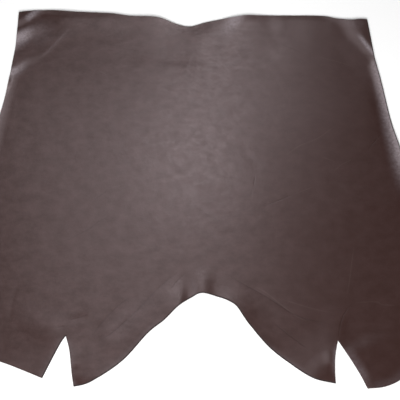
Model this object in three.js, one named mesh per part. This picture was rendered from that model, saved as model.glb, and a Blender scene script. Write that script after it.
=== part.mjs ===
// Leather butt: the back of a tanned cattle hide, cut off behind the shoulder and trimmed of its bellies.
// It lies grain side up. It is one piece of leather, so the part is one solid sheet with the hide's cut
// outline, the two slits of its rump, the tail bay between them, and the low folds and curled rims.
// Millimetres, +Z up: +X runs across to the right flank and +Y along the backbone to the neck end.
// The origin is under the middle of the sheet, on the surface that it lies on.

import * as THREE from "three";
import { ParametricGeometry } from "three/addons/geometries/ParametricGeometry.js";
import { mergeGeometries, mergeVertices } from "three/addons/utils/BufferGeometryUtils.js";

// The leather: heavy harness weight, full thickness
const THICKNESS = 3.5;
const LEATHER = { color: "#3c2926", roughness: 0.45, metalness: 0 };

// How finely the sheet is divided: steps across each rump flap, across the middle between the slits,
// along the rump, and along the back
const FLAP_STEPS = 14;
const MIDDLE_STEPS = 34;
const RUMP_STEPS = 10;
const BACK_STEPS = 30;
const MERGE_WITHIN = 0.01;
const SLOPE_STEP = 0.5;
const CREST_STEPS = 14;

// The neck cut, from the left corner to the right one: two humps with a dip over the backbone
const NECK_CUT = [
  { x: -618, y: 642 },
  { x: -562, y: 651 },
  { x: -500, y: 651 },
  { x: -420, y: 644 },
  { x: -300, y: 638 },
  { x: -235, y: 628 },
  { x: -140, y: 622 },
  { x: -75, y: 597 },
  { x: -28, y: 587 },
  { x: 22, y: 602 },
  { x: 80, y: 615 },
  { x: 158, y: 629 },
  { x: 215, y: 630 },
  { x: 320, y: 631 },
  { x: 428, y: 629 },
  { x: 475, y: 619 },
  { x: 525, y: 612 },
  { x: 555, y: 614 },
  { x: 582, y: 613 },
];

// The flanks, from the rump corner up to the neck corner
const LEFT_FLANK = [
  { x: -637, y: -565 },
  { x: -660, y: -481 },
  { x: -684, y: -338 },
  { x: -700, y: -160 },
  { x: -694, y: 16 },
  { x: -675, y: 158 },
  { x: -648, y: 289 },
  { x: -635, y: 384 },
  { x: -628, y: 440 },
  { x: -622, y: 502 },
  { x: -619, y: 570 },
  { x: -618, y: 642 },
];
const RIGHT_FLANK = [
  { x: 622, y: -614 },
  { x: 665, y: -485 },
  { x: 692, y: -345 },
  { x: 700, y: -195 },
  { x: 686, y: -25 },
  { x: 662, y: 121 },
  { x: 639, y: 222 },
  { x: 617, y: 363 },
  { x: 598, y: 472 },
  { x: 589, y: 550 },
  { x: 582, y: 613 },
];

// The rump, from the left flank to the right one: flap, slit, left cheek, tail bay, right cheek, slit, flap
const LEFT_FLAP_CUT = [
  { x: -637, y: -565 },
  { x: -565, y: -590 },
  { x: -524, y: -606 },
  { x: -465, y: -630 },
];
const LEFT_SLIT_OUTER = [
  { x: -465, y: -630 },
  { x: -439, y: -572 },
  { x: -415, y: -522 },
  { x: -401, y: -500 },
];
const LEFT_SLIT_INNER = [
  { x: -370, y: -655 },
  { x: -377, y: -616 },
  { x: -387, y: -548 },
  { x: -401, y: -500 },
];
const TAIL_CUT = [
  { x: -370, y: -655 },
  { x: -317, y: -640 },
  { x: -228, y: -578 },
  { x: -152, y: -493 },
  { x: -102, y: -451 },
  { x: -60, y: -408 },
  { x: -20, y: -380 },
  { x: 14, y: -365 },
  { x: 68, y: -379 },
  { x: 95, y: -390 },
  { x: 119, y: -407 },
  { x: 143, y: -444 },
  { x: 160, y: -468 },
  { x: 213, y: -532 },
  { x: 273, y: -582 },
  { x: 346, y: -631 },
  { x: 412, y: -646 },
];
const RIGHT_SLIT_INNER = [
  { x: 412, y: -646 },
  { x: 411, y: -610 },
  { x: 414, y: -565 },
  { x: 425, y: -515 },
];
const RIGHT_SLIT_OUTER = [
  { x: 506, y: -662 },
  { x: 484, y: -614 },
  { x: 443, y: -544 },
  { x: 425, y: -515 },
];
const RIGHT_FLAP_CUT = [
  { x: 506, y: -662 },
  { x: 556, y: -657 },
  { x: 602, y: -638 },
  { x: 622, y: -614 },
];

// The seat line, where the rump ends and the back begins: it runs through the ends of both slits, passes
// over the tail bay, and meets each flank this share of the flank's length above its rump corner
const SEAT_LINE = [
  { x: -401, y: -500 },
  { x: -215, y: -330 },
  { x: 5, y: -215 },
  { x: 225, y: -335 },
  { x: 425, y: -515 },
];
const SEAT_SHARE = 0.1;

// Shares of the neck cut's length that lie straight up the hide from the ends of the two slits
const NECK_ABOVE_LEFT_SLIT = 0.18;
const NECK_ABOVE_RIGHT_SLIT = 0.86;

// The folds of the hide as it lies, each a smooth ridge along a crest line. left and right are the ridge's
// half widths as one looks along the crest, and narrow the share of them that is left at its end. rise and
// fade are the lengths in which it gains its height at the start and loses it at the end. A crest beyond a
// rim curls that rim up, and a side far wider than the other makes the ridge a step.
const FOLDS = [
  // Left corner of the neck: it curls up in three steps, with a fine crease across the foot of the first
  {
    crest: [{ x: -640, y: 426 }, { x: -606, y: 447 }, { x: -550, y: 472 }, { x: -518, y: 486 }],
    height: 4.2, left: 900, right: 42, fade: 140, narrow: 0.4,
  },
  {
    crest: [{ x: -575, y: 448 }, { x: -524, y: 478 }, { x: -480, y: 531 }, { x: -434, y: 589 }],
    height: 0.5, left: 90, right: 9, rise: 60, fade: 50,
  },
  {
    crest: [{ x: -640, y: 550 }, { x: -600, y: 580 }, { x: -560, y: 612 }, { x: -520, y: 660 }],
    height: 5.5, left: 900, right: 46, fade: 150, narrow: 1.8,
  },
  {
    crest: [{ x: -640, y: 598 }, { x: -606, y: 622 }, { x: -545, y: 662 }],
    height: 2.2, left: 900, right: 34,
  },
  // Right corner of the neck: the same in one step, wider at the neck, on a broader one
  {
    crest: [
      { x: 640, y: 404 }, { x: 606, y: 478 }, { x: 586, y: 522 },
      { x: 562, y: 571 }, { x: 541, y: 622 },
    ],
    height: 4.2, left: 20, right: 300, narrow: 4,
  },
  {
    crest: [{ x: 640, y: 404 }, { x: 606, y: 478 }, { x: 580, y: 540 }, { x: 556, y: 622 }],
    height: 2, left: 110, right: 300, narrow: 1.3,
  },
  // Right flank: the rim curls up, with two low swells inside it
  {
    crest: [
      { x: 657, y: 475 }, { x: 681, y: 372 }, { x: 703, y: 230 },
      { x: 714, y: 129 }, { x: 744, y: -15 }, { x: 768, y: -190 },
    ],
    height: 15, left: 100, right: 100, rise: 40, fade: 260,
  },
  {
    crest: [{ x: 340, y: 340 }, { x: 350, y: 200 }, { x: 360, y: 60 }, { x: 380, y: -250 }],
    height: 0.6, left: 300, right: 500, rise: 150, fade: 250,
  },
  {
    crest: [
      { x: 536, y: 430 }, { x: 552, y: 340 }, { x: 574, y: 220 },
      { x: 598, y: 100 }, { x: 626, y: -40 }, { x: 640, y: -160 },
    ],
    height: 2.2, left: 60, right: 360, rise: 220, fade: 120,
  },
  // Left flank: its rim curls up as well, lower
  {
    crest: [
      { x: -672, y: 420 }, { x: -694, y: 289 }, { x: -715, y: 158 },
      { x: -732, y: 16 }, { x: -738, y: -80 },
    ],
    height: 8.8, left: 76, right: 76, rise: 30, fade: 180,
  },
  // Neck: its left half curls up and bends down at the rim, the dip bends down twice, and the right hump is
  // a ridge turned up at the rim with a lower one beside it
  {
    crest: [{ x: -570, y: 800 }, { x: -400, y: 800 }, { x: -270, y: 775 }, { x: -150, y: 728 }],
    height: 12.5, left: 310, right: 310, rise: 160, narrow: 0.7,
  },
  {
    crest: [
      { x: -600, y: 606 }, { x: -500, y: 614 }, { x: -420, y: 614 },
      { x: -340, y: 611 }, { x: -200, y: 602 },
    ],
    height: 2, left: 40, right: 170, rise: 170, fade: 170,
  },
  {
    crest: [
      { x: -60, y: 500 }, { x: 0, y: 484 }, { x: 60, y: 484 },
      { x: 150, y: 494 }, { x: 280, y: 505 },
    ],
    height: 2, left: 110, right: 180, rise: 90, fade: 220,
  },
  {
    crest: [{ x: -120, y: 538 }, { x: -40, y: 546 }, { x: 40, y: 556 }, { x: 110, y: 572 }],
    height: 1.9, left: 66, right: 120, rise: 120, fade: 80,
  },
  {
    crest: [{ x: 160, y: 632 }, { x: 141, y: 576 }, { x: 116, y: 489 }],
    height: 3, left: 160, right: 180, fade: 140,
  },
  {
    crest: [{ x: 60, y: 664 }, { x: 150, y: 672 }, { x: 275, y: 668 }],
    height: 8, left: 90, right: 81, rise: 60, fade: 125,
  },
  {
    crest: [
      { x: 235, y: 606 }, { x: 300, y: 608 }, { x: 380, y: 606 },
      { x: 450, y: 602 }, { x: 520, y: 592 },
    ],
    height: 1.3, left: 32, right: 100, rise: 60, fade: 70,
  },
  {
    crest: [{ x: 408, y: 640 }, { x: 410, y: 560 }, { x: 408, y: 450 }],
    height: 0.7, left: 220, right: 90, fade: 130,
  },
  // Tail bay: its rim lifts, and three short ripples fan out from it
  {
    crest: [{ x: -110, y: -500 }, { x: -40, y: -450 }, { x: 80, y: -450 }],
    height: 4, left: 120, right: 120,
  },
  {
    crest: [{ x: -60, y: -404 }, { x: -52, y: -310 }],
    height: 3.8, left: 130, right: 42, fade: 95,
  },
  {
    crest: [{ x: 15, y: -362 }, { x: 8, y: -263 }],
    height: 2.9, left: 38, right: 42, fade: 100, narrow: 1.5,
  },
  {
    crest: [{ x: 125, y: -520 }, { x: 114, y: -420 }, { x: 102, y: -350 }, { x: 78, y: -280 }],
    height: 3.3, left: 62, right: 140, fade: 245, narrow: 0.6,
  },
  // Cheeks: each tip bends down over a fold across it, and the rims beside the slits and the left cut curl up
  {
    crest: [{ x: -380, y: -602 }, { x: -318, y: -642 }],
    height: 3, left: 120, right: 40,
  },
  {
    crest: [{ x: -320, y: -668 }, { x: -205, y: -592 }, { x: -135, y: -510 }, { x: -80, y: -455 }],
    height: 3.2, left: 50, right: 50, rise: 40, fade: 60,
  },
  {
    crest: [{ x: 340, y: -649 }, { x: 365, y: -611 }, { x: 390, y: -588 }, { x: 420, y: -574 }],
    height: 1.7, left: 50, right: 60, fade: 25,
  },
  {
    crest: [{ x: 366, y: -650 }, { x: 425, y: -598 }],
    height: 5.2, left: 160, right: 50,
  },
  {
    crest: [{ x: -392, y: -520 }, { x: -384, y: -560 }, { x: -378, y: -610 }],
    height: 1.8, left: 40, right: 25, rise: 50, fade: 20,
  },
  {
    crest: [{ x: 424, y: -520 }, { x: 414, y: -570 }, { x: 412, y: -606 }],
    height: 2.2, left: 30, right: 45, rise: 60, fade: 20,
  },
  // Flaps: each domed beside its slit and turned up at its cut, and a crease from the end of the right slit
  {
    crest: [{ x: -472, y: -548 }, { x: -449, y: -482 }, { x: -437, y: -410 }],
    height: 2.3, left: 150, right: 60, rise: 80, fade: 70,
  },
  {
    crest: [{ x: -660, y: -608 }, { x: -560, y: -638 }, { x: -450, y: -676 }],
    height: 2.3, left: 76, right: 76, narrow: 1.6,
  },
  {
    crest: [{ x: 527, y: -655 }, { x: 509, y: -600 }, { x: 482, y: -535 }, { x: 470, y: -510 }],
    height: 4.8, left: 60, right: 180, fade: 50,
  },
  {
    crest: [{ x: 470, y: -706 }, { x: 560, y: -704 }, { x: 650, y: -662 }],
    height: 5, left: 80, right: 80,
  },
  {
    crest: [{ x: 426, y: -512 }, { x: 438, y: -450 }, { x: 478, y: -386 }],
    height: 0.8, left: 70, right: 28, fade: 90,
  },
];

// A smooth curve through a table's points
function curveThrough(rows) {
  return new THREE.SplineCurve(rows.map(({ x, y }) => new THREE.Vector2(x, y)));
}

// A border of the sheet's plan: the stretch of a curve between two shares of its length
function stretch(curve, from = 0, to = 1) {
  return (share) => curve.getPointAt(THREE.MathUtils.lerp(from, to, share));
}

// Steps whose size starts and ends at the given multiples of their mean
function steps(count, first, last) {
  const place = (t) => t * (1 - t) ** 2 * first + t * t * (3 - 2 * t) - t * t * (1 - t) * last;
  return { count, place };
}

// The flat patch between four borders: south and north run along +X, west and east along +Y
function patch(south, north, west, east, columns, rows) {
  const spot = (u, v, target) => {
    const s = columns.place(u);
    const t = rows.place(v);
    const between = south(s).lerp(north(s), t).add(west(t).lerp(east(t), s));
    const low = south(0).lerp(south(1), s);
    const high = north(0).lerp(north(1), s);
    between.sub(low.lerp(high, t));
    target.set(between.x, between.y, 0);
  };
  const geometry = new ParametricGeometry(spot, columns.count, rows.count);
  geometry.deleteAttribute("normal");
  geometry.deleteAttribute("uv");
  return geometry;
}

// The sheet's plan: the rump in three patches, parted by the slits, and the back in three above them
function sheetPlan() {
  const neck = curveThrough(NECK_CUT);
  const leftFlank = curveThrough(LEFT_FLANK);
  const rightFlank = curveThrough(RIGHT_FLANK);
  const seat = curveThrough(SEAT_LINE);
  const leftSlitEnd = seat.points.at(0);
  const rightSlitEnd = seat.points.at(-1);

  const leftSeat = stretch(new THREE.LineCurve(leftFlank.getPointAt(SEAT_SHARE), leftSlitEnd));
  const middleSeat = stretch(seat);
  const rightSeat = stretch(new THREE.LineCurve(rightSlitEnd, rightFlank.getPointAt(SEAT_SHARE)));
  const aboveLeftSlit = stretch(new THREE.LineCurve(leftSlitEnd, neck.getPointAt(NECK_ABOVE_LEFT_SLIT)));
  const aboveRightSlit = stretch(new THREE.LineCurve(rightSlitEnd, neck.getPointAt(NECK_ABOVE_RIGHT_SLIT)));

  const leftFlap = steps(FLAP_STEPS, 0.5, 1.1);
  const middle = steps(MIDDLE_STEPS, 1.4, 1.4);
  const rightFlap = steps(FLAP_STEPS, 1.1, 0.5);
  const rump = steps(RUMP_STEPS, 0.6, 1.2);
  const back = steps(BACK_STEPS, 0.8, 0.3);

  const border = (rows) => stretch(curveThrough(rows));
  const patches = [
    patch(border(LEFT_FLAP_CUT), leftSeat, stretch(leftFlank, 0, SEAT_SHARE), border(LEFT_SLIT_OUTER),
      leftFlap, rump),
    patch(border(TAIL_CUT), middleSeat, border(LEFT_SLIT_INNER), border(RIGHT_SLIT_INNER), middle, rump),
    patch(border(RIGHT_FLAP_CUT), rightSeat, border(RIGHT_SLIT_OUTER), stretch(rightFlank, 0, SEAT_SHARE),
      rightFlap, rump),
    patch(leftSeat, stretch(neck, 0, NECK_ABOVE_LEFT_SLIT), stretch(leftFlank, SEAT_SHARE, 1), aboveLeftSlit,
      leftFlap, back),
    patch(middleSeat, stretch(neck, NECK_ABOVE_LEFT_SLIT, NECK_ABOVE_RIGHT_SLIT), aboveLeftSlit,
      aboveRightSlit, middle, back),
    patch(rightSeat, stretch(neck, NECK_ABOVE_RIGHT_SLIT, 1), aboveRightSlit,
      stretch(rightFlank, SEAT_SHARE, 1), rightFlap, back),
  ];
  return mergeVertices(mergeGeometries(patches), MERGE_WITHIN);
}

// A smooth bell: 1 at 0, and 0 from 1 on
function bell(t) {
  return Math.cos((Math.PI / 2) * Math.min(t, 1)) ** 2;
}

// How far one fold lifts the sheet over a point of its plan. Past the crest's ends its half width passes
// smoothly from the left one to the right one.
function foldLift({ line, lengths, height, left, right, rise = 0, fade = 0, narrow = 1 }, point) {
  let nearest = { gap: Infinity };
  for (let i = 1; i < line.length; i++) {
    const run = line[i].clone().sub(line[i - 1]);
    const offset = point.clone().sub(line[i - 1]);
    const share = THREE.MathUtils.clamp(offset.dot(run) / run.lengthSq(), 0, 1);
    offset.addScaledVector(run, -share);
    const gap = offset.length();
    if (gap < nearest.gap) {
      const along = THREE.MathUtils.lerp(lengths[i - 1], lengths[i], share);
      nearest = { gap, along, side: run.normalize().cross(offset.normalize()) };
    }
  }
  const { gap, along, side } = nearest;
  const length = lengths.at(-1);
  const width = (left + right + (left - right) * side) / 2;
  const half = width * THREE.MathUtils.lerp(1, narrow, along / length);
  const started = rise > 0 ? 1 - bell(along / rise) : 1;
  const lasting = fade > 0 ? 1 - bell((length - along) / fade) : 1;
  return height * bell(gap / half) * started * lasting;
}

// Each fold with its crest drawn as short straight steps, and the length along it at each of them
const foldLines = FOLDS.map(({ crest, ...shape }) => {
  const curve = curveThrough(crest);
  return { ...shape, line: curve.getPoints(CREST_STEPS), lengths: curve.getLengths(CREST_STEPS) };
});

// Height of the sheet's flesh side over the surface that it lies on
function lift(x, y) {
  const point = new THREE.Vector2(x, y);
  return foldLines.reduce((sum, fold) => sum + foldLift(fold, point), 0);
}

// Upward normal of the folded sheet
function normalAt(x, y) {
  const slopeX = (lift(x + SLOPE_STEP, y) - lift(x - SLOPE_STEP, y)) / (2 * SLOPE_STEP);
  const slopeY = (lift(x, y + SLOPE_STEP) - lift(x, y - SLOPE_STEP)) / (2 * SLOPE_STEP);
  return new THREE.Vector3(-slopeX, -slopeY, 1).normalize();
}

// The closed sheet over a plan: the grain face, the flesh face one thickness under it, and the cut edge
function solidSheet(plan) {
  const spots = plan.getAttribute("position");
  const flesh = [];
  const grain = [];
  for (let i = 0; i < spots.count; i++) {
    const x = spots.getX(i);
    const y = spots.getY(i);
    const under = new THREE.Vector3(x, y, lift(x, y));
    flesh.push(under);
    grain.push(under.clone().addScaledVector(normalAt(x, y), THICKNESS));
  }
  const corners = plan.index.array;
  const triangles = Array.from({ length: corners.length / 3 }, (_, i) => corners.slice(3 * i, 3 * i + 3));
  const sides = triangles.flatMap(([a, b, c]) => [[a, b], [b, c], [c, a]]);
  const known = new Set(sides.map(([a, b]) => `${a} ${b}`));
  const rim = sides.filter(([a, b]) => !known.has(`${b} ${a}`));
  const below = (i) => i + spots.count;
  const faces = [
    ...triangles.map(([a, b, c]) => [a, b, c]),
    ...triangles.map(([a, b, c]) => [below(a), below(c), below(b)]),
    ...rim.flatMap(([a, b]) => [[b, a, below(a)], [b, below(a), below(b)]]),
  ];
  const geometry = new THREE.BufferGeometry().setFromPoints([...grain, ...flesh]);
  geometry.setIndex(faces.flat());
  geometry.computeVertexNormals();
  return geometry;
}

const butt = new THREE.Mesh(solidSheet(sheetPlan()), new THREE.MeshStandardMaterial(LEATHER));
butt.name = "leather_butt";

const part = new THREE.Group();
part.add(butt);

export default part;
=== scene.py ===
import math

import bpy
import numpy as np
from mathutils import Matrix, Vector
from mathutils.kdtree import KDTree


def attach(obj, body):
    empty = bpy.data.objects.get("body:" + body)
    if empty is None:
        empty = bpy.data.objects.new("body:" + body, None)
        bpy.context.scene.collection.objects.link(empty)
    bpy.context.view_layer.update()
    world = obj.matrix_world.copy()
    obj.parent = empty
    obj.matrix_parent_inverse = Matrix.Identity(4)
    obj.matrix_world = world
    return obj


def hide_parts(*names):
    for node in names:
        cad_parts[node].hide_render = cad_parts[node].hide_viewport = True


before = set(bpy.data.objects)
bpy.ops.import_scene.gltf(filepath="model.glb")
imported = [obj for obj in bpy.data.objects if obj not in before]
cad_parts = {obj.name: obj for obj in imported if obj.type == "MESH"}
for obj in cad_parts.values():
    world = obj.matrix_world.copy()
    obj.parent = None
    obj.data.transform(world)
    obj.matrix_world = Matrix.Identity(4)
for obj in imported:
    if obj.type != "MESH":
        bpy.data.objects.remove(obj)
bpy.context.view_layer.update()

# The butt
# The back of a cattle hide in one piece, both sides of the backbone, vegetable tanned, dyed and waxed at its
# full thickness. It was knifed out along the neck, both flanks and the rump, where two slits and the tail bay
# part the cheeks, and it lies loose on its flesh side in the low folds of drying and rolling.

# Its sizes are in millimetres: x runs across to the right flank, y along the backbone to the neck
MM = 0.001
THICKNESS = 3.5

# The neck cut from left to right, and the flanks from the rump up
NECK_CUT = [
    (-618, 642), (-562, 651), (-500, 651), (-420, 644), (-300, 638), (-235, 628), (-140, 622), (-75, 597),
    (-28, 587), (22, 602), (80, 615), (158, 629), (215, 630), (320, 631), (428, 629), (475, 619), (525, 612),
    (555, 614), (582, 613),
]
LEFT_FLANK = [
    (-637, -565), (-660, -481), (-684, -338), (-700, -160), (-694, 16), (-675, 158), (-648, 289), (-635, 384),
    (-628, 440), (-622, 502), (-619, 570), (-618, 642),
]
RIGHT_FLANK = [
    (622, -614), (665, -485), (692, -345), (700, -195), (686, -25), (662, 121), (639, 222), (617, 363),
    (598, 472), (589, 550), (582, 613),
]

# The rump from left to right: flap, slit, cheek, tail bay, cheek, slit, flap
LEFT_FLAP_CUT = [(-637, -565), (-565, -590), (-524, -606), (-465, -630)]
LEFT_SLIT_OUTER = [(-465, -630), (-439, -572), (-415, -522), (-401, -500)]
LEFT_SLIT_INNER = [(-370, -655), (-377, -616), (-387, -548), (-401, -500)]
TAIL_CUT = [
    (-370, -655), (-317, -640), (-228, -578), (-152, -493), (-102, -451), (-60, -408), (-20, -380),
    (14, -365), (68, -379), (95, -390), (119, -407), (143, -444), (160, -468), (213, -532), (273, -582),
    (346, -631), (412, -646),
]
RIGHT_SLIT_INNER = [(412, -646), (411, -610), (414, -565), (425, -515)]
RIGHT_SLIT_OUTER = [(506, -662), (484, -614), (443, -544), (425, -515)]
RIGHT_FLAP_CUT = [(506, -662), (556, -657), (602, -638), (622, -614)]

# The seat line through the ends of both slits, the share of each flank's length at which it ends, and the
# shares of the neck's length at which the lines up from the slits end
SEAT_LINE = [(-401, -500), (-215, -330), (5, -215), (225, -335), (425, -515)]
SEAT_SHARE = 0.1
NECK_ABOVE_SLITS = (0.18, 0.86)
BEND_STEPS = 40  # short straight steps from one marked point of a cut to the next


def along_cut(points, shares):
    """Spots at the given shares of the length of the smooth cut through a few marked points."""
    p = np.array(points, float)
    p = np.vstack([p[:1], p, p[-1:]])
    t = np.linspace(0, 1, BEND_STEPS, endpoint=False)[:, None]
    bends = [
        b + t * ((c - a) / 2 + t * (a - 2.5 * b + 2 * c - d / 2 + t * (1.5 * (b - c) + (d - a) / 2)))
        for a, b, c, d in zip(p, p[1:], p[2:], p[3:])
    ]
    drawn = np.vstack([*bends, p[-1:]])
    run = np.concatenate([[0], np.linalg.norm(np.diff(drawn, axis=0), axis=1).cumsum()])
    places = np.asarray(shares) * run[-1]
    return np.stack([np.interp(places, run, drawn[:, axis]) for axis in (0, 1)], axis=1)


def steps(count, first, last):
    """Shares from 0 to 1 whose steps start and end at the given multiples of their mean."""
    t = np.linspace(0, 1, count + 1)
    return t * (1 - t) ** 2 * first + t * t * (3 - 2 * t) - t * t * (1 - t) * last


def patch(south, north, west, east, across, upward):
    """The flat grid of spots between four border lines."""
    s, t = across[None, :, None], upward[:, None, None]
    corners = (1 - t) * ((1 - s) * south[0] + s * south[-1]) + t * ((1 - s) * north[0] + s * north[-1])
    return (1 - t) * south + t * north + (1 - s) * west[:, None] + s * east[:, None] - corners


# The plan is six patches: flap, middle and flap of the rump, parted by the slits, and the same of the back.
# Their cells are smallest at the neck, where the folds are sharpest.
FLAP = steps(52, first=0.9, last=1.1)
FLAP_RIGHT = 1 - FLAP[::-1]
MIDDLE = steps(166, first=1, last=1)
RUMP = steps(34, first=0.9, last=1.1)
BACK = steps(118, first=0.7, last=0.4)
left_slit_end, right_slit_end = SEAT_LINE[0], SEAT_LINE[-1]
neck_left, neck_right = along_cut(NECK_CUT, NECK_ABOVE_SLITS)
left_seat = along_cut([along_cut(LEFT_FLANK, [SEAT_SHARE])[0], left_slit_end], FLAP)
middle_seat = along_cut(SEAT_LINE, MIDDLE)
right_seat = along_cut([right_slit_end, along_cut(RIGHT_FLANK, [SEAT_SHARE])[0]], FLAP_RIGHT)
above_left = along_cut([left_slit_end, neck_left], BACK)
above_right = along_cut([right_slit_end, neck_right], BACK)
neck_split = np.array([0, *NECK_ABOVE_SLITS, 1])
neck_parts = [
    along_cut(NECK_CUT, start + (end - start) * shares)
    for start, end, shares in zip(neck_split, neck_split[1:], (FLAP, MIDDLE, FLAP_RIGHT))
]
low_flank, high_flank = SEAT_SHARE * RUMP, SEAT_SHARE + (1 - SEAT_SHARE) * BACK
patches = [
    patch(along_cut(LEFT_FLAP_CUT, FLAP), left_seat, along_cut(LEFT_FLANK, low_flank),
          along_cut(LEFT_SLIT_OUTER, RUMP), FLAP, RUMP),
    patch(along_cut(TAIL_CUT, MIDDLE), middle_seat, along_cut(LEFT_SLIT_INNER, RUMP),
          along_cut(RIGHT_SLIT_INNER, RUMP), MIDDLE, RUMP),
    patch(along_cut(RIGHT_FLAP_CUT, FLAP_RIGHT), right_seat, along_cut(RIGHT_SLIT_OUTER, RUMP),
          along_cut(RIGHT_FLANK, low_flank), FLAP_RIGHT, RUMP),
    patch(left_seat, neck_parts[0], along_cut(LEFT_FLANK, high_flank), above_left, FLAP, BACK),
    patch(middle_seat, neck_parts[1], above_left, above_right, MIDDLE, BACK),
    patch(right_seat, neck_parts[2], above_right, along_cut(RIGHT_FLANK, high_flank), FLAP_RIGHT, BACK),
]

# Border spots that two patches share become one
WELD = 0.01
spots, quads = [], []
for grid in patches:
    height, width = grid.shape[:2]
    cells = np.arange((height - 1) * width).reshape(height - 1, width)[:, :-1].ravel()
    first = sum(map(len, spots)) + cells
    quads.append(np.stack([first, first + 1, first + width + 1, first + width], axis=1))
    spots.append(grid.reshape(-1, 2))
spots = np.vstack(spots)
rounded = np.round(spots / WELD).astype(int)
_, kept, welded = np.unique(rounded, axis=0, return_index=True, return_inverse=True)
plan = spots[kept]
quads = welded.ravel()[np.vstack(quads)]

# The folds, each a smooth ridge along a crest line that starts at a rim or inside the sheet: left and right
# are its half widths as one looks along the crest, rise and fade the lengths in which it gains and loses its
# height (0 keeps it to the end), and narrow the share of its half widths left at the end. A crest beyond a
# rim makes the rim curl up, and a very wide side makes a step.
FOLDS = [
    # Left corner of the neck: it curls up in three steps, with a fine crease across the foot of the first
    dict(crest=[(-640, 426), (-606, 447), (-550, 472), (-518, 486)], height=4.2, left=900, right=42, fade=140,
         narrow=0.4),
    dict(crest=[(-575, 448), (-524, 478), (-480, 531), (-434, 589)], height=0.5, left=90, right=9, rise=60,
         fade=50),
    dict(crest=[(-640, 550), (-600, 580), (-560, 612), (-520, 660)], height=5.5, left=900, right=46, fade=150,
         narrow=1.8),
    dict(crest=[(-640, 598), (-606, 622), (-545, 662)], height=2.2, left=900, right=34),
    # Right corner of the neck: the same in one step, wider at the neck, on a broader one
    dict(crest=[(640, 404), (606, 478), (586, 522), (562, 571), (541, 622)], height=4.2, left=20, right=300,
         narrow=4),
    dict(crest=[(640, 404), (606, 478), (580, 540), (556, 622)], height=2, left=110, right=300, narrow=1.3),
    # Right flank: the rim curls up, with two low swells inside it
    dict(crest=[(657, 475), (681, 372), (703, 230), (714, 129), (744, -15), (768, -190)], height=15, left=100,
         right=100, rise=40, fade=260),
    dict(crest=[(340, 340), (350, 200), (360, 60), (380, -250)], height=0.6, left=300, right=500, rise=150,
         fade=250),
    dict(crest=[(536, 430), (552, 340), (574, 220), (598, 100), (626, -40), (640, -160)], height=2.2, left=60,
         right=360, rise=220, fade=120),
    # Left flank: its rim curls up as well, lower
    dict(crest=[(-672, 420), (-694, 289), (-715, 158), (-732, 16), (-738, -80)], height=8.8, left=76,
         right=76, rise=30, fade=180),
    # Neck: its left half curls up and bends down at the rim, the dip bends down twice, and the right hump is
    # a ridge turned up at the rim with a lower one beside it
    dict(crest=[(-570, 800), (-400, 800), (-270, 775), (-150, 728)], height=12.5, left=310, right=310,
         rise=160, narrow=0.7),
    dict(crest=[(-600, 606), (-500, 614), (-420, 614), (-340, 611), (-200, 602)], height=2, left=40,
         right=170, rise=170, fade=170),
    dict(crest=[(-60, 500), (0, 484), (60, 484), (150, 494), (280, 505)], height=2, left=110, right=180,
         rise=90, fade=220),
    dict(crest=[(-120, 538), (-40, 546), (40, 556), (110, 572)], height=1.9, left=66, right=120, rise=120,
         fade=80),
    dict(crest=[(160, 632), (141, 576), (116, 489)], height=3, left=160, right=180, fade=140),
    dict(crest=[(60, 664), (150, 672), (275, 668)], height=8, left=90, right=81, rise=60, fade=125),
    dict(crest=[(235, 606), (300, 608), (380, 606), (450, 602), (520, 592)], height=1.3, left=32, right=100,
         rise=60, fade=70),
    dict(crest=[(408, 640), (410, 560), (408, 450)], height=0.7, left=220, right=90, fade=130),
    # Tail bay: its rim lifts, and three short ripples fan out from it
    dict(crest=[(-110, -500), (-40, -450), (80, -450)], height=4, left=120, right=120),
    dict(crest=[(-60, -404), (-52, -310)], height=3.8, left=130, right=42, fade=95),
    dict(crest=[(15, -362), (8, -263)], height=2.9, left=38, right=42, fade=100, narrow=1.5),
    dict(crest=[(125, -520), (114, -420), (102, -350), (78, -280)], height=3.3, left=62, right=140, fade=245,
         narrow=0.6),
    # Cheeks: each tip bends down over a fold across it, and the rims by the slits and the left cut curl up
    dict(crest=[(-380, -602), (-318, -642)], height=3, left=120, right=40),
    dict(crest=[(-320, -668), (-205, -592), (-135, -510), (-80, -455)], height=3.2, left=50, right=50,
         rise=40, fade=60),
    dict(crest=[(340, -649), (365, -611), (390, -588), (420, -574)], height=1.7, left=50, right=60, fade=25),
    dict(crest=[(366, -650), (425, -598)], height=5.2, left=160, right=50),
    dict(crest=[(-392, -520), (-384, -560), (-378, -610)], height=1.8, left=40, right=25, rise=50, fade=20),
    dict(crest=[(424, -520), (414, -570), (412, -606)], height=2.2, left=30, right=45, rise=60, fade=20),
    # Flaps: each domed beside its slit and turned up at its cut, and a crease up from the right slit's end
    dict(crest=[(-472, -548), (-449, -482), (-437, -410)], height=2.3, left=150, right=60, rise=80, fade=70),
    dict(crest=[(-660, -608), (-560, -638), (-450, -676)], height=2.3, left=76, right=76, narrow=1.6),
    dict(crest=[(527, -655), (509, -600), (482, -535), (470, -510)], height=4.8, left=60, right=180, fade=50),
    dict(crest=[(470, -706), (560, -704), (650, -662)], height=5, left=80, right=80),
    dict(crest=[(426, -512), (438, -450), (478, -386)], height=0.8, left=70, right=28, fade=90),
]
LINE_STEPS = np.linspace(0, 1, 16)
TINY = 1e-9  # keeps a place on the line itself from dividing by zero


def bell(t):
    """1 at 0, falling smoothly to 0 at 1 and beyond."""
    return np.cos(np.pi / 2 * np.clip(t, 0, 1)) ** 2


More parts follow.
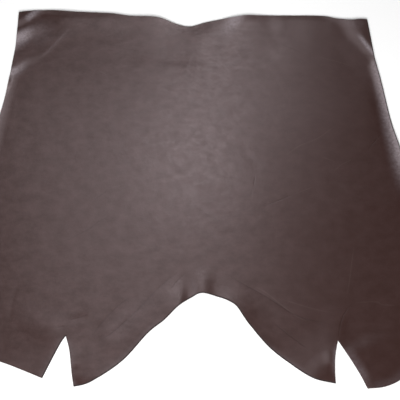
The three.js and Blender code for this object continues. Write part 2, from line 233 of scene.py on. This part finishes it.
def beside(line, places):
    """How far places lie from a drawn line, how far along it, its length, and the side: 1 left, -1 right."""
    drawn = along_cut(line, LINE_STEPS)
    run = np.diff(drawn, axis=0)
    lengths = np.linalg.norm(run, axis=1)
    offset = places[:, None] - drawn[:-1]
    share = np.clip((offset * run).sum(axis=2) / lengths**2, 0, 1)
    offset -= share[..., None] * run
    gaps = np.linalg.norm(offset, axis=2)
    best = gaps.argmin(axis=1)
    row = np.arange(len(places))
    gap = gaps[row, best]
    along = np.append(0, lengths.cumsum())[best] + share[row, best] * lengths[best]
    ahead, aside = (run / lengths[:, None])[best], offset[row, best] / np.maximum(gap, TINY)[:, None]
    side = ahead[:, 0] * aside[:, 1] - ahead[:, 1] * aside[:, 0]
    return gap, along, lengths.sum(), side


def fold_lift(places, crest, height, left, right, rise=0, fade=0, narrow=1):
    """How far one fold lifts the sheet at each place of its plan."""
    gap, along, length, side = beside(crest, places)
    half = (left + right + (left - right) * side) / 2 * (1 + (narrow - 1) * along / length)
    lift = height * bell(gap / half)
    if rise:
        lift *= 1 - bell(along / rise)
    if fade:
        lift *= 1 - bell((length - along) / fade)
    return lift


flesh_height = sum(fold_lift(plan, **fold) for fold in FOLDS)
mesh = bpy.data.meshes.new("butt")
mesh.from_pydata((np.column_stack([plan, flesh_height]) * MM).tolist(), [], quads.tolist())
butt = bpy.data.objects.new("butt", mesh)
bpy.context.scene.collection.objects.link(butt)

# The full thickness of the leather above its flesh side, its knife-cut edges a little rounded by handling
EDGE_ROUND = 0.6
EDGE_STEPS = 2
SHARP_TURN = math.radians(60)
substance = butt.modifiers.new("substance", "SOLIDIFY")
substance.thickness = THICKNESS * MM
substance.offset = 1
rounding = butt.modifiers.new("rounding", "BEVEL")
rounding.width = EDGE_ROUND * MM
rounding.segments = EDGE_STEPS
rounding.limit_method = "ANGLE"
rounding.angle_limit = SHARP_TURN
butt.data = bpy.data.meshes.new_from_object(butt.evaluated_get(bpy.context.evaluated_depsgraph_get()))
butt.modifiers.clear()
mesh = butt.data

# Which of the three surfaces each face is: grain side up, flesh side down, cut edge between. The vertices
# down to the middle of the upper rounding go with the grain.
GRAIN, EDGE, FLESH = range(3)
FACES_UP = 0.6
VERTEX_UP = 0.3
facing = np.empty(len(mesh.polygons) * 3)
mesh.polygons.foreach_get("normal", facing)
facing = facing[2::3]
surface = np.where(facing > FACES_UP, GRAIN, np.where(facing < -FACES_UP, FLESH, EDGE))
co = np.empty(len(mesh.vertices) * 3)
mesh.vertices.foreach_get("co", co)
co = co.reshape(-1, 3) / MM
upright = np.empty(len(mesh.vertices) * 3)
mesh.vertices.foreach_get("normal", upright)
on_grain = upright[2::3] > VERTEX_UP
places = co[:, :2]

# Hollows of the grain side, laid out as the folds are: soft shallow troughs where the leather has been bent
# and has not sprung back
HOLLOWS = [
    # Under the dip of the neck, and across the right corner
    dict(crest=[(-172, 450), (-67, 456), (100, 446)], height=0.65, left=130, right=34, rise=90, fade=60),
    dict(crest=[(-300, 484), (-100, 480), (100, 478), (330, 480)], height=0.8, left=70, right=60, rise=120,
         fade=120),
    dict(crest=[(612, 465), (592, 468), (560, 480)], height=0.9, left=11, right=11, fade=40),
    # Two short dents in the right half of the back
    dict(crest=[(131, 133), (186, 72), (231, 51)], height=0.3, left=20, right=20, rise=50, fade=50),
    dict(crest=[(406, 21), (438, 2), (478, -24)], height=0.25, left=18, right=18, rise=35, fade=35),
    # The left cheek and flap, round the end of the slit
    dict(crest=[(-146, -437), (-213, -475), (-248, -519)], height=0.5, left=26, right=26, rise=50, fade=50),
    dict(crest=[(-397, -453), (-360, -443), (-330, -430)], height=1.2, left=16, right=18, rise=25, fade=25),
    dict(crest=[(-556, -324), (-566, -370), (-575, -434), (-577, -470)], height=0.2, left=10, right=10,
         rise=50, fade=50),
    dict(crest=[(-435, -477), (-403, -470)], height=0.6, left=12, right=12, rise=15, fade=15),
    # Between two ripples of the tail bay, and the long creases that run from it down both cheeks
    dict(crest=[(-31, -396), (-29, -350), (-31, -315)], height=1, left=32, right=24, fade=60),
    dict(crest=[(-37, -284), (-77, -310), (-130, -359), (-190, -425), (-254, -486), (-332, -540)],
         height=0.38, left=12, right=12, rise=120, fade=120),
    dict(crest=[(-198, -375), (-248, -409), (-302, -472), (-331, -517)], height=0.38, left=14, right=14,
         rise=60, fade=60),
    dict(crest=[(69, -280), (146, -338), (234, -391), (294, -432), (332, -448), (428, -470)],
         height=0.35, left=13, right=13, rise=120, fade=120),
]
co[:, 2] -= on_grain * sum(fold_lift(places, **hollow) for hollow in HOLLOWS)

# Fine lines in the grain: creases where it has folded, darkened with painted shade, and pale scratches where
# it was dragged
CREASES = [
    [(-37, -284), (-77, -310), (-130, -359), (-190, -425), (-254, -486), (-332, -540)],
    [(-198, -375), (-248, -409), (-302, -472), (-331, -517)],
    [(-33, -296), (-61, -325), (-90, -361)],
    [(-397, -453), (-360, -443), (-330, -430)],
    [(-435, -477), (-403, -470)],
    [(69, -280), (106, -315), (146, -338), (186, -361), (234, -391), (294, -432), (332, -448), (385, -459),
     (428, -470)],
    [(219, -448), (270, -492), (345, -549)],
    [(475, -398), (447, -434), (434, -470), (426, -510)],
    [(-287, -19), (-336, -59)],
    [(-266, -106), (-311, -127), (-355, -161), (-443, -209)],
    [(606, 184), (556, 122)],
    [(312, -34), (279, -49), (210, -78)],
    [(185, 26), (180, -9)],
    [(283, 520), (359, 483)],
    [(606, 466), (590, 468), (565, 476)],
]
SCRATCHES = [
    [(159, -333), (204, -359), (238, -386), (272, -415), (307, -442), (354, -461)],
    [(256, -384), (343, -412), (421, -430)],
    [(493, -202), (482, -259), (468, -338), (456, -380)],
    [(480, -396), (550, -393), (567, -402), (619, -405)],
    [(-283, -14), (-232, 1)],
    [(463, 217), (394, 163), (328, 133), (270, 86)],
    [(512, 91), (464, 66), (434, 37)],
    [(373, -9), (312, -34)],
    [(400, 97), (450, 76)],
    [(178, -14), (173, -57)],
    [(401, 470), (460, 453), (526, 431)],
    [(-341, 419), (-282, 386)],
]
LINE_REACH = 12
FADING_ENDS = 0.25


def store_lines(name, lines):
    """Keeps with each vertex how far left of the nearest line it is, in mm, and how strongly that shows."""
    across = np.full(len(places), float(LINE_REACH))
    shown = np.zeros(len(places))
    nearest = np.full(len(places), np.inf)
    for line in lines:
        gap, along, length, side = beside(line, places)
        closer = gap < nearest
        nearest = np.where(closer, gap, nearest)
        across = np.where(closer, gap * np.sign(side), across)
        ends = 1 - bell(np.minimum(along, length - along) / (FADING_ENDS * length))
        shown = np.where(closer, bell(gap / LINE_REACH) * ends, shown)
    stored = mesh.attributes.new(name, "FLOAT_VECTOR", "POINT")
    stored.data.foreach_set("vector", np.column_stack([across, shown, np.zeros(len(places))]).ravel())


store_lines("creases", CREASES)
store_lines("scratches", SCRATCHES)

# Painted highlights: the glints of the lights on the grain where it bends most and along its rims, painted
# into its colour as a pale grey, in patches laid out as the folds are, with a strength for a height
PAINTED_HIGHLIGHTS = [
    # Left corner of the neck, on each of its steps
    dict(crest=[(-640, 410), (-612, 420), (-585, 445), (-560, 458)], height=0.85, left=16, right=42, fade=105,
         narrow=0.5),
    dict(crest=[(-540, 462), (-521, 479), (-483, 526), (-432, 588)], height=0.1, left=5, right=5, rise=40,
         fade=40),
    dict(crest=[(-640, 526), (-623, 538), (-600, 556), (-540, 602)], height=1, left=24, right=58, fade=110,
         narrow=0.8),
    dict(crest=[(-596, 608), (-578, 627), (-553, 655)], height=0.8, left=19, right=19, rise=18),
    # Right corner of the neck, and the rims of both flanks
    dict(crest=[(603, 468), (577, 504), (555, 540), (536, 559)], height=0.95, left=10, right=13, fade=45),
    dict(crest=[(602, 460), (617, 363), (640, 222), (662, 121), (700, -70)], height=0.68, left=28, right=28,
         rise=16, fade=170, narrow=2.8),
    dict(crest=[(-632, 400), (-652, 280), (-678, 150)], height=0.16, left=18, right=18, rise=60, fade=80),
    # The hump of the neck, and faint patches in both corners
    dict(crest=[(148, 655), (119, 603), (101, 571), (84, 512)], height=0.66, left=40, right=40, fade=125),
    dict(crest=[(470, 618), (525, 600), (580, 586)], height=0.14, left=26, right=26, rise=30, fade=25),
    dict(crest=[(-590, 600), (-545, 560), (-500, 500)], height=0.15, left=80, right=80, rise=50, fade=60),
    # The left cheek, the rims of the tail bay, the slits and the right flap, and a streak between two ripples
    dict(crest=[(-110, -370), (-200, -430), (-290, -530)], height=0.07, left=70, right=60, rise=60, fade=60),
    dict(crest=[(-300, -628), (-228, -573), (-152, -488), (-102, -446)], height=0.14, left=16, right=16,
         rise=60, fade=60),
    dict(crest=[(185, -505), (213, -532), (273, -582), (346, -631)], height=0.13, left=20, right=20, rise=60,
         fade=60),
    dict(crest=LEFT_SLIT_INNER, height=0.14, left=20, right=20, fade=30),
    dict(crest=LEFT_SLIT_OUTER, height=0.12, left=24, right=24, fade=30),
    dict(crest=RIGHT_SLIT_OUTER, height=0.26, left=34, right=34, rise=50, fade=90),
    dict(crest=RIGHT_SLIT_INNER, height=0.38, left=14, right=14, rise=80, fade=40),
    dict(crest=RIGHT_FLAP_CUT, height=0.14, left=32, right=32, rise=40),
    dict(crest=[(-10, -378), (-12, -340), (-18, -300)], height=0.2, left=15, right=15, fade=70),
]
painted_highlight_amount = np.max([fold_lift(places, **painted_highlight) for painted_highlight in PAINTED_HIGHLIGHTS], axis=0)
mesh.attributes.new("painted_highlight", "FLOAT", "POINT").data.foreach_set("value", painted_highlight_amount)

# The rims where the shade of the cut edge and its contact shadow are painted on the grain as a thin dark
# line: the left slit's outer one, the tail bay's and the upper right flank's
SHADED_RIMS = (LEFT_SLIT_OUTER, TAIL_CUT, RIGHT_FLANK[4:])
RIM_STEPS = np.linspace(0, 1, 400)
rim_spots = np.vstack([along_cut(cut, RIM_STEPS) for cut in SHADED_RIMS])
rim_tree = KDTree(len(rim_spots))
for i, (x, y) in enumerate(rim_spots):
    rim_tree.insert((x, y, 0), i)
rim_tree.balance()
rim_gaps = [rim_tree.find((x, y, 0))[2] for x, y in places]
mesh.attributes.new("from_rim", "FLOAT", "POINT").data.foreach_set("value", rim_gaps)
mesh.vertices.foreach_set("co", (co * MM).ravel())
mesh.update()


def linear(hex_colour):
    """An sRGB hex colour as linear red, green, blue and alpha."""
    parts = [int(hex_colour[i:i + 2], 16) / 255 for i in (1, 3, 5)]
    return (*[c / 12.92 if c <= 0.04045 else ((c + 0.055) / 1.055) ** 2.4 for c in parts], 1)


def add_node(tree, kind, inputs=None, **settings):
    """Adds a node with its settings, each input being a value or another node's output."""
    made = tree.nodes.new("ShaderNode" + kind)
    for name, value in settings.items():
        setattr(made, name, value)
    for socket, value in (inputs or {}).items():
        if isinstance(value, bpy.types.NodeSocket):
            tree.links.new(value, made.inputs[socket])
        else:
            made.inputs[socket].default_value = value
    return made


def new_material(name):
    """A material with its node tree, its shader and the place in metres that its patterns use."""
    made = bpy.data.materials.new(name)
    made.use_nodes = True
    place = add_node(made.node_tree, "TexCoord").outputs["Object"]
    return made, made.node_tree, made.node_tree.nodes["Principled BSDF"], place


# Drum-dyed vegetable tanned grain, plated and waxed: a very dark red-brown with a broad satin glow, clouded
# where the dye took deeper, with wax mottle, growth lines and a fine pebble that only roughen the glow.
# Inputs 2 and 3 of a Mix node are its two numbers, 6 and 7 its two colours.
GRAIN_DARK = linear("#2c1914")
GRAIN_LIGHT = linear("#3c2a28")
# The painted shade in the creases
CREASE_SHADE = linear("#271814")
SCRATCH_BROWN = linear("#5c504d")
# The pale grey of the painted highlights
HIGHLIGHT_GREY = linear("#72696d")
# The dark of the painted shade line along the rims
RIM_SHADE_DARK = linear("#160d0b")
GRAIN_IOR = 1.5
WARM_GLOW = (1, 0.865, 0.903, 1)
CLOUD_MM = (46, 34)
CLOUD_SPREAD = (0.35, 0.65)
MOTTLE_MM = 26
STREAK_MM = (46, 18)
STREAK_BEND = 0.15  # growth lines cross the backbone and bend back by this many metres one metre out
PEBBLE_MM = 8  # drawn coarser: the real pebble is about 1 mm and would not show

grain, tree, shader, place = new_material("drum_dyed_waxed_grain")
axes = add_node(tree, "SeparateXYZ", {0: place})
squared = add_node(tree, "Math", {0: axes.outputs[0], 1: axes.outputs[0]}, operation="MULTIPLY")
bent_back = add_node(tree, "Math", {0: squared.outputs[0], 1: STREAK_BEND, 2: axes.outputs[1]},
                     operation="MULTIPLY_ADD")
growth = add_node(tree, "CombineXYZ", {0: axes.outputs[0], 1: bent_back.outputs[0]})
stretched = add_node(tree, "Mapping", {"Vector": growth.outputs[0],
                                       "Scale": (1 / (STREAK_MM[0] * MM), 1 / (STREAK_MM[1] * MM), 1)})
drifting = add_node(tree, "Mapping", {"Vector": place,
                                      "Scale": (1 / (CLOUD_MM[0] * MM), 1 / (CLOUD_MM[1] * MM), 1)})
streaks = add_node(tree, "TexNoise", {"Vector": stretched.outputs[0], "Scale": 1, "Detail": 5,
                                      "Roughness": 0.6})
clouds = add_node(tree, "TexNoise", {"Vector": drifting.outputs[0], "Scale": 1, "Detail": 6,
                                     "Roughness": 0.68})
mottle = add_node(tree, "TexNoise", {"Vector": place, "Scale": 1 / (MOTTLE_MM * MM), "Detail": 5,
                                     "Roughness": 0.6})
pebble = add_node(tree, "TexNoise", {"Vector": place, "Scale": 1 / (PEBBLE_MM * MM), "Detail": 2,
                                     "Roughness": 0.5})

# The grain is tighter towards the right flank: from the backbone out to this many metres, this share of the
# patterns' unevenness goes
CALM_OUT = 0.45
CALM_SHARE = 0.6
calm = add_node(tree, "MapRange", {"Value": axes.outputs[0], "From Min": 0, "From Max": CALM_OUT, "To Min": 0,
                                   "To Max": CALM_SHARE}, interpolation_type="SMOOTHSTEP").outputs[0]

# Colour: clouds of dye, then the fine lines with painted shade in the creases, the painted highlights in
# small patches, and the painted shade line along the rims
CLOUD_CALM = 0.5
CREASE_HALF_MM, CREASE_SHOWS = 3.5, 0.5
SCRATCH_HALF_MM, SCRATCH_SHOWS = 3, 0.15
PATCH_SPREAD, PATCH_STRENGTH = (0.3, 0.7), (0.6, 1.4)
RIM_SHADE_MM = (2, 4.5)


def line_strength(name, half_width):
    """How strongly a fine line of the given half width in mm shows."""
    stored = add_node(tree, "Attribute", attribute_name=name)
    parts = add_node(tree, "SeparateXYZ", {0: stored.outputs["Vector"]})
    gap = add_node(tree, "Math", {0: parts.outputs[0]}, operation="ABSOLUTE")
    core = add_node(tree, "MapRange", {"Value": gap.outputs[0], "From Min": 0, "From Max": half_width,
                                       "To Min": 1, "To Max": 0}, interpolation_type="SMOOTHSTEP")
    return add_node(tree, "Math", {0: core.outputs[0], 1: parts.outputs[1]}, operation="MULTIPLY").outputs[0]


cloudy = add_node(tree, "MapRange", {"Value": clouds.outputs[0], "From Min": CLOUD_SPREAD[0],
                                     "From Max": CLOUD_SPREAD[1]})
clouded = add_node(tree, "Mix", {0: calm, 2: cloudy.outputs[0], 3: CLOUD_CALM})
brown = add_node(tree, "Mix", {0: clouded.outputs[0], 6: GRAIN_DARK, 7: GRAIN_LIGHT}, data_type="RGBA")
crease = line_strength("creases", CREASE_HALF_MM)
# Painted shade along the creases, darkest at each crease's middle
faint_crease = add_node(tree, "Math", {0: crease, 1: CREASE_SHOWS}, operation="MULTIPLY")
crease_shaded = add_node(tree, "Mix", {0: faint_crease.outputs[0], 6: brown.outputs[2], 7: CREASE_SHADE},
                   data_type="RGBA")
scratch = line_strength("scratches", SCRATCH_HALF_MM)
faint_scratch = add_node(tree, "Math", {0: scratch, 1: SCRATCH_SHOWS}, operation="MULTIPLY")
scratched = add_node(tree, "Mix", {0: faint_scratch.outputs[0], 6: crease_shaded.outputs[2], 7: SCRATCH_BROWN},
                     data_type="RGBA")
# Painted highlights: pale grey laid over the colour where the glints of the lights fall, broken into patches
# by the pebble
painted_highlight = add_node(tree, "Attribute", attribute_name="painted_highlight")
patchy = add_node(tree, "MapRange", {"Value": pebble.outputs[0], "From Min": PATCH_SPREAD[0],
                                     "From Max": PATCH_SPREAD[1], "To Min": PATCH_STRENGTH[0],
                                     "To Max": PATCH_STRENGTH[1]})
highlight_strength = add_node(tree, "Math", {0: painted_highlight.outputs["Fac"], 1: patchy.outputs[0]}, operation="MULTIPLY",
               use_clamp=True)
highlighted = add_node(tree, "Mix", {0: highlight_strength.outputs[0], 6: scratched.outputs[2], 7: HIGHLIGHT_GREY}, data_type="RGBA")
# Painted shade along the rims: the shaded cut edge and its contact shadow, painted as a thin dark line on the
# grain
from_rim = add_node(tree, "Attribute", attribute_name="from_rim")
rim_shade = add_node(tree, "MapRange", {"Value": from_rim.outputs["Fac"], "From Min": RIM_SHADE_MM[0],
                                   "From Max": RIM_SHADE_MM[1], "To Min": 1, "To Max": 0},
                interpolation_type="SMOOTHSTEP")
rimmed = add_node(tree, "Mix", {0: rim_shade.outputs[0], 6: highlighted.outputs[2], 7: RIM_SHADE_DARK}, data_type="RGBA")
tree.links.new(rimmed.outputs[2], shader.inputs["Base Color"])

# Gloss and relief: how much roughness each pattern adds to the wax, and how high it stands in millimetres.
# The wax is nowhere glossier than satin, and the rims under the painted shade line are dull.
PATTERNS = [(mottle, 0.16, 0.28), (streaks, 0.153, 0.2), (pebble, 0.05, 0.1)]
ROUGH_BASE, ROUGH_LEAST, ROUGH_CALM = 0.125, 0.28, 0.315
RIM_DULLS = 0.4
RELIEF_CALM = 0.29
CREASE_DEPTH = 0.15
rough, relief = ROUGH_BASE, 0
for pattern, dulls, stands in PATTERNS:
    rough = add_node(tree, "Math", {0: pattern.outputs[0], 1: dulls, 2: rough},
                     operation="MULTIPLY_ADD").outputs[0]
    relief = add_node(tree, "Math", {0: pattern.outputs[0], 1: stands * MM, 2: relief},
                      operation="MULTIPLY_ADD").outputs[0]
satin = add_node(tree, "Math", {0: rough, 1: ROUGH_LEAST}, operation="MAXIMUM")
evened = add_node(tree, "Mix", {0: calm, 2: satin.outputs[0], 3: ROUGH_CALM})
dulled = add_node(tree, "Math", {0: rim_shade.outputs[0], 1: RIM_DULLS, 2: evened.outputs[0]},
                  operation="MULTIPLY_ADD")
tree.links.new(dulled.outputs[0], shader.inputs["Roughness"])
smoothed = add_node(tree, "Mix", {0: calm, 2: relief, 3: RELIEF_CALM * MM})
lined = add_node(tree, "Math", {0: crease, 1: -CREASE_DEPTH * MM, 2: smoothed.outputs[0]},
                 operation="MULTIPLY_ADD")
bump = add_node(tree, "Bump", {"Height": lined.outputs[0], "Distance": 1, "Strength": 1})
tree.links.new(bump.outputs[0], shader.inputs["Normal"])
shader.inputs["IOR"].default_value = GRAIN_IOR
shader.inputs["Specular Tint"].default_value = WARM_GLOW

# The knife-cut edge: dyed nearly through, dull, with the fibres of the hide lying along it.
EDGE_BROWN = linear("#1c110e")
EDGE_PALE = linear("#2e1e19")
EDGE_ROUGHNESS = 0.7
FIBRE_MM = 4  # drawn coarser, as bundles: single fibres would not show
edge, tree, shader, place = new_material("knife_cut_edge")
fibres = add_node(tree, "TexNoise", {"Vector": place, "Scale": 1 / (FIBRE_MM * MM), "Detail": 4,
                                     "Roughness": 0.65})
tone = add_node(tree, "Mix", {0: fibres.outputs[0], 6: EDGE_BROWN, 7: EDGE_PALE}, data_type="RGBA")
tree.links.new(tone.outputs[2], shader.inputs["Base Color"])
shader.inputs["Roughness"].default_value = EDGE_ROUGHNESS

# The shaved flesh side: a matte, paler brown with a short nap of loose fibres.
FLESH_BROWN = linear("#5d4034")
FLESH_PALE = linear("#7c5a49")
FLESH_ROUGHNESS = 0.9
NAP_MM = 6  # drawn coarser, as tufts: the fibres of the nap would not show
NAP_HEIGHT = 0.3
flesh, tree, shader, place = new_material("shaved_flesh")
nap = add_node(tree, "TexNoise", {"Vector": place, "Scale": 1 / (NAP_MM * MM), "Detail": 6, "Roughness": 0.7})
tone = add_node(tree, "Mix", {0: nap.outputs[0], 6: FLESH_BROWN, 7: FLESH_PALE}, data_type="RGBA")
tree.links.new(tone.outputs[2], shader.inputs["Base Color"])
fuzz = add_node(tree, "Bump", {"Height": nap.outputs[0], "Distance": NAP_HEIGHT * MM, "Strength": 1})
tree.links.new(fuzz.outputs[0], shader.inputs["Normal"])
shader.inputs["Roughness"].default_value = FLESH_ROUGHNESS

for material in (grain, edge, flesh):
    mesh.materials.append(material)
mesh.polygons.foreach_set("material_index", surface.astype(np.int32))
mesh.polygons.foreach_set("use_smooth", np.ones(len(mesh.polygons), bool))
even_shading = butt.modifiers.new("even_shading", "WEIGHTED_NORMAL")
even_shading.mode = "FACE_AREA"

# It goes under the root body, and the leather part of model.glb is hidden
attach(butt, "root")
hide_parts("leather_butt")

# The floor
# A wide sheet of matte white paper that the butt lies loose on, a hair below the flesh side so that the two
# never share a surface.
FLOOR_HALF = 7  # metres
FLOOR_DROP = 0.2  # millimetres
PAPER_WHITE = linear("#ffffff")
PAPER_ROUGHNESS = 0.9
PAPER_GLOW = 0.1
floor_mesh = bpy.data.meshes.new("floor")
floor_corners = [(x * FLOOR_HALF, y * FLOOR_HALF, 0) for x, y in ((-1, -1), (1, -1), (1, 1), (-1, 1))]
floor_mesh.from_pydata(floor_corners, [], [(0, 1, 2, 3)])
floor = bpy.data.objects.new("floor", floor_mesh)
floor.location.z = -FLOOR_DROP * MM
bpy.context.scene.collection.objects.link(floor)
paper, tree, shader, place = new_material("matte_paper")
shader.inputs["Base Color"].default_value = PAPER_WHITE
shader.inputs["Roughness"].default_value = PAPER_ROUGHNESS
shader.inputs["Specular IOR Level"].default_value = PAPER_GLOW
floor_mesh.materials.append(paper)

# The camera
# It looks down along the backbone from behind the tail, steeply enough to show the whole outline, through a
# long lens set so that the flanks just leave the frame.
ELEVATION = math.radians(68)
DISTANCE = 3.28
TARGET = Vector((0.007, -0.054, 0))
SENSOR = 36
FRAME_PX = 400
FOCAL_PX = 1024
lens = bpy.data.cameras.new("camera")
lens.sensor_width = SENSOR
lens.lens = SENSOR * FOCAL_PX / FRAME_PX
camera = bpy.data.objects.new("camera", lens)
camera.location = TARGET + DISTANCE * Vector((0, -math.cos(ELEVATION), math.sin(ELEVATION)))
camera.rotation_euler = (math.pi / 2 - ELEVATION, 0, 0)
bpy.context.scene.collection.objects.link(camera)
bpy.context.scene.camera = camera

# The light
# A soft box beyond the neck and a small lamp nearer by lay the glow along the backbone, a wide dim box
# spreads it to the left, and a wide fill from the tail end whitens the floor. All is in metres and watts.
LIGHTS = [
    dict(name="neck_box", place=(0.23, 2.2, 2.75), aim=(-0.06, 0.1, 0), size=(0.64, 0.84), power=11),
    dict(name="backbone_lamp", place=(-0.04, 1.27, 2.75), aim=(-0.06, 0.1, 0), size=(0.25, 0.35), power=5.2),
    dict(name="left_box", place=(-0.4, 0.84, 2.6), aim=(-0.3, 0, 0), size=(1.45, 2.0), power=20.6),
    dict(name="tail_fill", place=(-0.05, -3.0, 2.9), aim=(0, 0, 0), size=(3.0, 2.0), power=230),
]
AIR_GLOW = 0.02
for row in LIGHTS:
    lamp = bpy.data.lights.new(row["name"], "AREA")
    lamp.shape = "RECTANGLE"
    lamp.size, lamp.size_y = row["size"]
    lamp.energy = row["power"]
    box = bpy.data.objects.new(row["name"], lamp)
    box.location = row["place"]
    box.rotation_euler = (Vector(row["aim"]) - box.location).to_track_quat("-Z", "Y").to_euler()
    bpy.context.scene.collection.objects.link(box)
world = bpy.data.worlds.new("studio")
world.use_nodes = True
world.node_tree.nodes["Background"].inputs["Color"].default_value = (1, 1, 1, 1)
world.node_tree.nodes["Background"].inputs["Strength"].default_value = AIR_GLOW
bpy.context.scene.world = world
bpy.context.scene.view_settings.view_transform = "Standard"
